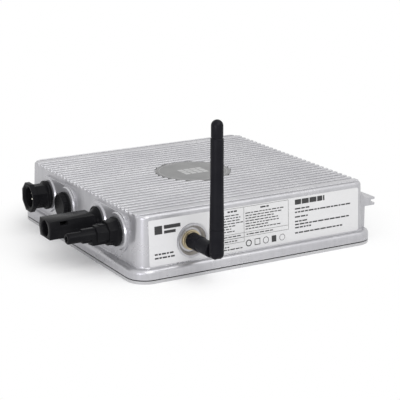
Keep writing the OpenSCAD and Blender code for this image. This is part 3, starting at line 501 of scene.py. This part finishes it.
def print_label():
    """Generic layout of bars, a ruled table and plain shapes, with no words."""
    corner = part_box("front_label")[0]
    sheet = Print(seed=7)
    # Left end: a plain square, two bars and two short lines
    sheet.bar(-119, 31.5, 8.5, 8.5)
    sheet.bar(-108.5, 36.2, 18.5, 3.8)
    sheet.bar(-108.5, 31.5, 13.0, 3.0)
    sheet.line(-119.5, 10.6, 22, 1.7, 6)
    sheet.line(-119.5, 6.8, 24, 1.7, 7)
    # Middle: a ruled table with two columns of lines
    sheet.box(-50, 14, 87, 31.5)
    sheet.bar(-17, 14, RULE, 31.5)
    sheet.bar(-50, 18.6, 87, RULE)
    sheet.box(-50, 9.3, 33.3, 4.9)
    sheet.line(-36, 41.6, 11, 1.7, 7)
    sheet.line(3, 41.6, 12, 1.7, 7)
    for row, (left, right) in enumerate(TABLE_ROWS):
        sheet.line(-48, TABLE_TOP - row * TABLE_PITCH, left, 1.05, 6)
        sheet.line(-15, TABLE_TOP - row * TABLE_PITCH, right, 1.05, 6)
    sheet.line(-48, 15.9, 27, 1.1, 6)
    sheet.line(-14, 15.9, 33, 1.1, 6)
    sheet.line(-48, 11.1, 24, 1.1, 6)
    sheet.line(-48, 5.6, 14, 1.1, 6)
    sheet.line(-48, 2.9, 30, 1.1, 6)
    # Row of plain shapes under the table
    sheet.ring(-11.5, 7.0, 3.6, 1.1)
    sheet.box(-4.5, 3.6, 6.8, 6.8, rule=0.8)
    sheet.ring(9.2, 7.0, 3.6, 0.7)
    sheet.bar(16.2, 3.6, 5.6, 6.8)
    sheet.ring(29.0, 7.0, 3.4, 0.5)
    # Right end: a heading and the rows below it
    sheet.line(45, 38.8, 37, 5.4, 15)
    for v, length in NOTE_ROWS:
        sheet.line(45, v, length, 1.5, 7)
    ink = joined(sheet.marks, "label_print")
    ink.rotation_euler = (math.pi / 2 - LABEL_LEAN, 0, 0)
    ink.location = (0, corner.y, corner.z)
    settle(ink)
    wear(ink, PRINT_INK)
    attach(ink, "case")


DISC_RING_R = 37.5
DISC_RING_RULE = 0.4
CELL = 6.2
CELL_PITCH = 7.4
CELL_COLUMNS = 4
CELL_ROWS = 3
FIRST_CELL = (-14.3, -10.8)


def print_disc(top_z):
    """Plain motif on the round plate: a thin ring and a small grid of cells."""
    low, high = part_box("top_disc")
    sheet = Print(seed=3)
    sheet.ring(0, 0, DISC_RING_R, DISC_RING_RULE)
    for column in range(CELL_COLUMNS):
        for row in range(CELL_ROWS):
            sheet.bar(
                FIRST_CELL[0] + column * CELL_PITCH, FIRST_CELL[1] + row * CELL_PITCH, CELL, CELL)
    ink = joined(sheet.marks, "disc_print")
    ink.location = ((low.x + high.x) / 2, (low.y + high.y) / 2, top_z)
    settle(ink)
    wear(ink, PALE_INK)
    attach(ink, "case")


# Shaping, in millimetres
SMOOTH_ANGLE = 30


def stepped(sides, steps):
    """Closed bar along Z through sections given as height and distance to a corner."""
    deselect()
    z, r = steps[0]
    bpy.ops.mesh.primitive_circle_add(
        vertices=sides, radius=r * MM, fill_type="NGON", location=(0, 0, z * MM),
        rotation=(0, 0, math.pi / sides))
    bar = bpy.context.object
    bpy.ops.object.mode_set(mode="EDIT")
    bpy.ops.mesh.select_all(action="SELECT")
    for next_z, next_r in steps[1:]:
        bpy.ops.mesh.extrude_region_move(
            TRANSFORM_OT_translate={"value": (0, 0, (next_z - z) * MM)})
        bpy.ops.transform.resize(
            value=(next_r / r, next_r / r, 1), center_override=(0, 0, next_z * MM))
        z, r = next_z, next_r
    bpy.ops.mesh.select_all(action="SELECT")
    bpy.ops.mesh.normals_make_consistent(inside=False)
    bpy.ops.object.mode_set(mode="OBJECT")
    settle(bar)
    return bar


def block(low, high, turn=0.0):
    """Block between two corners, turned about the Z axis."""
    deselect()
    size = [b - a for a, b in zip(low, high)]
    bpy.ops.mesh.primitive_cube_add(
        size=MM, location=[(a + b) / 2 * MM for a, b in zip(low, high)], scale=size)
    shape = bpy.context.object
    settle(shape)
    shape.rotation_euler = (0, 0, turn)
    settle(shape)
    return shape


def bevel_upright(shape, width):
    """Bevels the edges that run along Z."""
    only(shape)
    bpy.ops.object.mode_set(mode="EDIT")
    bpy.ops.mesh.select_mode(type="EDGE")
    bpy.ops.mesh.select_all(action="DESELECT")
    bpy.ops.object.mode_set(mode="OBJECT")
    points = shape.data.vertices
    for edge in shape.data.edges:
        run = points[edge.vertices[1]].co - points[edge.vertices[0]].co
        edge.select = abs(run.z) > 0.99 * run.length
    bpy.ops.object.mode_set(mode="EDIT")
    bpy.ops.mesh.bevel(offset=width * MM, segments=1, affect="EDGES")
    bpy.ops.object.mode_set(mode="OBJECT")


def combine(body, tools, operation):
    """Adds the tools to a body, or cuts them out of it."""
    for tool in tools:
        only(body)
        step = body.modifiers.new("step", "BOOLEAN")
        step.operation = operation
        step.solver = "EXACT"
        step.object = tool
        bpy.ops.object.modifier_apply(modifier=step.name)
        bpy.data.objects.remove(tool, do_unlink=True)


def round_edges(piece, width, segments, angle=30):
    """Rounds the edges sharper than an angle in degrees, and shades the rest as smooth."""
    only(piece)
    rounded = piece.modifiers.new("rounded", "BEVEL")
    rounded.width = width * MM
    rounded.segments = segments
    rounded.limit_method = "ANGLE"
    rounded.angle_limit = math.radians(angle)
    bpy.ops.object.modifier_apply(modifier=rounded.name)
    bpy.ops.object.shade_smooth_by_angle(angle=math.radians(SMOOTH_ANGLE))


# Connectors on the left wall, drawn upwards from their seats and then turned out of them.
# OCTAGON is an octagon's distance to a corner, for each millimetre across its flats.
OCTAGON = 1 / math.cos(math.pi / 8) / 2
ROUND_SIDES = 48
HOLE_SIDES = 32
COLLAR_FOOT = 1.0
COLLAR_EDGE = 0.5
FLARE_STEPS = 6
CONNECTOR_EDGE = 0.35
CONNECTOR_ANGLE = 35
CUT_PAST = 1
CONTACT_HOLE_R = 2.6
SHANK_HOLE_R = 6.5


def reach_of(node, seal):
    """How far a connector stands out of its seat and how far its shank goes in."""
    low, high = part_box(node)
    seat_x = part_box(seal)[1].x
    return (seat_x - low.x) / MM, (high.x - seat_x) / MM


def collar_steps(shank_r, shank_l, collar_r, lip, body_r, end):
    """Shank, round collar up to its lip, and hollow flare from there to the body at its end."""
    rim_r = collar_r - COLLAR_EDGE
    turns = [math.pi / 2 * step / FLARE_STEPS for step in range(FLARE_STEPS + 1)]
    flare = [
        (lip + (end - lip) * (1 - math.cos(a)), body_r + (rim_r - body_r) * (1 - math.sin(a)))
        for a in turns]
    return [
        (-shank_l, shank_r), (COLLAR_FOOT, shank_r), (COLLAR_FOOT, rim_r),
        (COLLAR_FOOT + COLLAR_EDGE, collar_r), (lip - COLLAR_EDGE, collar_r)] + flare


def shank_holes(shank_l, contact_l):
    """Hole for the contact, up to a height, and the wide hole for the wire behind it."""
    return [
        stepped(HOLE_SIDES, [(-shank_l - CUT_PAST, CONTACT_HOLE_R), (contact_l, CONTACT_HOLE_R)]),
        stepped(HOLE_SIDES, [(-shank_l - CUT_PAST, SHANK_HOLE_R), (-1, SHANK_HOLE_R)])]


def seat(body, node, seal, name):
    """Turns a finished connector out of its seat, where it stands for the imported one."""
    round_edges(body, CONNECTOR_EDGE, 2, CONNECTOR_ANGLE)
    low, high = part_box(seal)
    body.rotation_euler = (0, -math.pi / 2, 0)
    body.location = (high.x, (low.y + high.y) / 2, (low.z + high.z) / 2)
    settle(body)
    give_name(body, name)
    wear(body, FINISHES["black_plastic"])
    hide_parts(node)
    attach(body, "case")


def mains_inlet():
    """Eight-sided body with a wide eight-sided mouth."""
    reach, shank_l = reach_of("mains_inlet_body", "mains_inlet_seal")
    body_r = 25 * OCTAGON
    mouth_r = 31 * OCTAGON
    bore_r = 10.6
    body = stepped(ROUND_SIDES, collar_steps(
        shank_r=11, shank_l=shank_l, collar_r=15.8, lip=4.6, body_r=12.2, end=8.0))
    outside = stepped(8, [
        (4, body_r), (reach - 6.4, body_r), (reach - 5.0, mouth_r), (reach, mouth_r)])
    combine(body, [outside], "UNION")
    combine(body, [
        stepped(ROUND_SIDES, [(8, bore_r), (reach - 2, bore_r), (reach + 0.1, 13.4)]),
        stepped(ROUND_SIDES, [(-1, 7.0), (9, 7.0)]),
        stepped(ROUND_SIDES, [(-shank_l - CUT_PAST, 8.5), (1, 8.5)])], "DIFFERENCE")
    seat(body, "mains_inlet_body", "mains_inlet_seal", "mains_inlet_shell")


def panel_socket():
    """Wide, low body with a crease along each side and a window for the latch."""
    reach, shank_l = reach_of("dc_socket_body", "dc_socket_seal")
    half_thick = 9.4
    half_wide = 14.2
    corner_wide = 2.4
    corner_thick = 8.4
    bore_r = 7.9
    # An even bevel on a squeezed block gives the long slope of each corner
    squeeze = corner_wide / corner_thick
    shell = block((-half_thick * squeeze, -half_wide, 8), (half_thick * squeeze, half_wide, reach))
    bevel_upright(shell, corner_wide)
    shell.scale = (1 / squeeze, 1, 1)
    settle(shell)
    body = stepped(ROUND_SIDES, collar_steps(
        shank_r=9.5, shank_l=shank_l, collar_r=15, lip=2.3, body_r=9.6, end=11))
    combine(body, [shell], "UNION")
    mouth = stepped(ROUND_SIDES, [(14, bore_r), (reach - 1, bore_r), (reach + 0.1, 8.6)])
    window = block((4.6, -16, reach - 20), (8.4, 16, reach - 11))
    combine(body, [mouth] + shank_holes(shank_l, 15) + [window], "DIFFERENCE")
    seat(body, "dc_socket_body", "dc_socket_seal", "panel_socket_shell")


def panel_plug():
    """Flared eight-sided gland, two keyed blocks, a round nose and the two arms along it."""
    reach, shank_l = reach_of("dc_plug_body", "dc_plug_seal")
    key_turn = math.radians(6)
    collar_r = 15.0
    gland_r = 23.6 * OCTAGON
    waist_r = 18 * OCTAGON
    nose_r = 5.5
    body = stepped(ROUND_SIDES, [
        (-shank_l, 9.5), (COLLAR_FOOT, 9.5), (COLLAR_FOOT, collar_r - COLLAR_EDGE),
        (COLLAR_FOOT + COLLAR_EDGE, collar_r), (2.8, collar_r), (3.2, 11.0)])
    gland = stepped(8, [
        (1.4, 14.8), (2.6, 14.8), (6.0, 13.4), (9.4, gland_r), (12.4, gland_r),
        (12.5, waist_r), (24.2, waist_r), (24.6, 15 * OCTAGON)])
    nose = stepped(ROUND_SIDES, [(20, nose_r), (reach - 1, nose_r), (reach, 4.7)])
    keys = [
        block((0.5, -5, 13), (9.8, 5, 20), key_turn),
        block((3.5, -3, 19), (7.4, 3, 38), key_turn),
        block((0.5, -5.2, 13.2), (9.8, 5.2, 29), key_turn + math.pi),
        block((3.5, -2.8, 28), (6.6, 2.8, 38.2), key_turn + math.pi)]
    combine(body, [gland, nose] + keys, "UNION")
    nose_hole = stepped(HOLE_SIDES, [(23.8, 3.1), (reach + CUT_PAST, 3.1)])
    combine(body, [nose_hole] + shank_holes(shank_l, 25), "DIFFERENCE")
    seat(body, "dc_plug_body", "dc_plug_seal", "panel_plug_shell")


# Turned pieces
TURNED_SIDES = 64
TURNED_EDGE = 0.15
BORE_PLAY = 0.15


def turned(steps, bore_r, name, slot, body="case"):
    """Round piece along Z with a bore through it and narrow rounded edges."""
    piece = stepped(TURNED_SIDES, steps)
    if bore_r:
        bore = stepped(
            TURNED_SIDES, [(steps[0][0] - CUT_PAST, bore_r), (steps[-1][0] + CUT_PAST, bore_r)])
        combine(piece, [bore], "DIFFERENCE")
    round_edges(piece, TURNED_EDGE, 2)
    give_name(piece, name)
    wear(piece, FINISHES[slot])
    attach(piece, body)
    return piece


def out_of_dish(piece):
    """Stands a turned piece on the washer in the antenna's dish."""
    low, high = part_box("jack_washer")
    piece.rotation_euler = (math.pi / 2, 0, 0)
    piece.location = ((low.x + high.x) / 2, low.y, (low.z + high.z) / 2)
    settle(piece)


def antenna_dish():
    """Shallow cast floor of the dish, and the brass ring that stands on it round the jack."""
    out_of_dish(turned([(0.1, 11.5), (1.1, 12.5)], 8.8, "dish_floor", "cast_housing"))
    low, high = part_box("coupling_nut")
    bore_r = (high.x - low.x) / 2 / MM + BORE_PLAY
    foot_r = 10.3
    neck_r = 9.3
    steps = [(1.15, foot_r), (3.2, foot_r), (3.3, neck_r), (5.6, neck_r)]
    out_of_dish(turned(steps, bore_r, "jack_ring", "brass"))


DOME_TURNS = [math.radians(10 * step) for step in range(9)]
SEAM_GAP = 0.05


def mast_end():
    """Domed end of the mast, with the spigot that it is pressed in by."""
    low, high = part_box("mast_tip")
    seam_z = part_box("mast_sleeve")[1].z / MM + SEAM_GAP
    hole_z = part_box("antenna_rod")[1].z / MM + 0.1
    foot_z = low.z / MM
    radius = (high.x - low.x) / 2 / MM
    dome_z = high.z / MM - radius
    spigot_r = 3.4
    rod_hole_r = 1.3
    dome = [(dome_z + radius * math.sin(a), radius * math.cos(a)) for a in DOME_TURNS]
    end = turned(
        [(foot_z, spigot_r), (seam_z, spigot_r), (seam_z, radius)] + dome, 0,
        "mast_end", "mast_plastic", "mast")
    rod_hole = stepped(HOLE_SIDES, [(foot_z - CUT_PAST, rod_hole_r), (hole_z, rod_hole_r)])
    combine(end, [rod_hole], "DIFFERENCE")
    end.location = ((low.x + high.x) / 2, (low.y + high.y) / 2, 0)
    settle(end)
    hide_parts("mast_tip")


PLATE_DROP = 0.3


def round_plate():
    """Round plate that fills its field between the ribs; gives the height of its top."""
    low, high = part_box("top_disc")
    rib_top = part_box("housing")[1].z
    thick = (rib_top - low.z) / MM - PLATE_DROP
    radius = (high.x - low.x) / 2 / MM
    plate = turned([(0, radius), (thick, radius)], 0, "round_plate", "disc_film")
    plate.location = ((low.x + high.x) / 2, (low.y + high.y) / 2, low.z)
    settle(plate)
    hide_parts("top_disc")
    return low.z + thick * MM


# Ends of the ribs, and of the two flat strips beside them, over the roof's rounded edge
RIB_PITCH = 8.6
RIB_W = 4.2
RIBS = 26
STRIP_MID = 118.0
STRIP_W = 7.6
ROOF_EDGE_R = 3.5
END_OVERLAP = 1
END_SHORT = 0.25
END_H = 3.3
END_DROP = 0.02
END_EDGE = 0.8


def rib_ends():
    """Sharp ends of the ribs and strips, on the left and the right side of the roof."""
    housing = nodes["housing"].data.vertices
    top_z = max(point.co.z for point in housing)
    top_x = max(point.co.x for point in housing if point.co.z > top_z - END_DROP * MM)
    inner = top_x / MM - END_OVERLAP
    outer = top_x / MM + ROOF_EDGE_R - END_SHORT
    low = top_z / MM - END_H
    high = top_z / MM - END_DROP
    rib_end = block((inner, -RIB_W / 2, low), (outer, RIB_W / 2, high))
    strip_end = block((inner, -STRIP_W / 2, low), (outer, STRIP_W / 2, high))
    rib_ys = [(number + 0.5 - RIBS / 2) * RIB_PITCH for number in range(RIBS)]
    ends = []
    for to_side in (-inner - outer, 0):
        ends += [copied(rib_end, (to_side, y, 0)) for y in rib_ys]
        ends += [copied(strip_end, (to_side, y, 0)) for y in (-STRIP_MID, STRIP_MID)]
    for pattern in (rib_end, strip_end):
        bpy.data.objects.remove(pattern, do_unlink=True)
    whole = joined(ends, "rib_ends")
    round_edges(whole, END_EDGE, 3)
    wear(whole, FINISHES["cast_housing"])
    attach(whole, "case")


# Studio: a pale floor, soft boxes and an even world
FLOOR_SIZE = 24.0
FLOOR_DROP = 0.0001
FLOOR_TONE = (0.95, 0.95, 0.95)
SHADOW_REACH = (0.14, 0.25)
FILL = 0.50
WHITE = (1, 1, 1)
LAMP_AIM = Vector((0, 0, 0.04))
# Name, place in metres, size in metres, watts and colour
LAMPS = [
    ("key_box", (-0.12, -1.05, 0.95), 0.7, 6.9, WHITE),
    ("left_box", (-0.85, -0.65, 0.16), 0.34, 2.9, (0.94, 0.93, 1.0)),
    ("top_box", (0.30, -0.40, 1.2), 1.0, 5.0, WHITE),
]


def seen_directly(tree):
    """Mask of the rays that look at the backdrop: from the camera, off gloss or through glass."""
    path = tree.nodes.new("ShaderNodeLightPath").outputs
    seen = reckoned(tree, "MAXIMUM", path["Is Camera Ray"], path["Is Glossy Ray"])
    return reckoned(tree, "MAXIMUM", seen, path["Is Transmission Ray"])


def white_floor():
    """Floor that keeps the shadow next to the piece and is plain white further out."""
    material = bpy.data.materials.new("floor_white")
    material.use_nodes = True
    tree = material.node_tree
    shader = tree.nodes["Principled BSDF"]
    shader.inputs["Base Color"].default_value = solid(FLOOR_TONE)
    shader.inputs["Roughness"].default_value = 1.0
    shader.inputs["Specular IOR Level"].default_value = 0.0
    glow = tree.nodes.new("ShaderNodeEmission")
    glow.inputs["Color"].default_value = solid(WHITE)
    distance = tree.nodes.new("ShaderNodeVectorMath")
    distance.operation = "LENGTH"
    feed(tree, distance.inputs[0], own_place(tree))
    far = remapped(tree, distance.outputs["Value"], SHADOW_REACH, smooth=True)
    both = tree.nodes.new("ShaderNodeMixShader")
    feed(tree, both.inputs["Fac"], reckoned(tree, "MULTIPLY", far, seen_directly(tree)))
    feed(tree, both.inputs[1], shader.outputs["BSDF"])
    feed(tree, both.inputs[2], glow.outputs["Emission"])
    feed(tree, tree.nodes["Material Output"].inputs["Surface"], both.outputs[0])
    return material


def lay_floor():
    bpy.ops.mesh.primitive_plane_add(
        size=FLOOR_SIZE, location=(0, 0, cad_box[0].z - FLOOR_DROP))
    floor = bpy.context.object
    floor.name = "floor"
    wear(floor, white_floor())


def white_world():
    """Even light of a pale room, plain white where it is looked at."""
    world = bpy.data.worlds.new("studio")
    world.use_nodes = True
    tree = world.node_tree
    sky = tree.nodes["Background"].inputs
    sky["Color"].default_value = solid(WHITE)
    feed(tree, sky["Strength"], remapped(tree, seen_directly(tree), wanted=(FILL, 1.0)))
    bpy.context.scene.world = world


def light_studio():
    """Square soft boxes that look at the middle of the housing, and the world."""
    for name, place, size, watts, color in LAMPS:
        bpy.ops.object.light_add(type="AREA", location=place)
        lamp = bpy.context.object
        lamp.name = name
        lamp.rotation_euler = (LAMP_AIM - Vector(place)).to_track_quat("-Z", "Y").to_euler()
        lamp.data.shape = "SQUARE"
        lamp.data.size = size
        lamp.data.energy = watts
        lamp.data.color = color
    white_world()
    bpy.context.scene.view_settings.view_transform = "Standard"


place_camera()
dress_nodes()
print_label()
print_disc(round_plate())
mains_inlet()
panel_socket()
panel_plug()
rib_ends()
antenna_dish()
mast_end()
lay_floor()
light_studio()
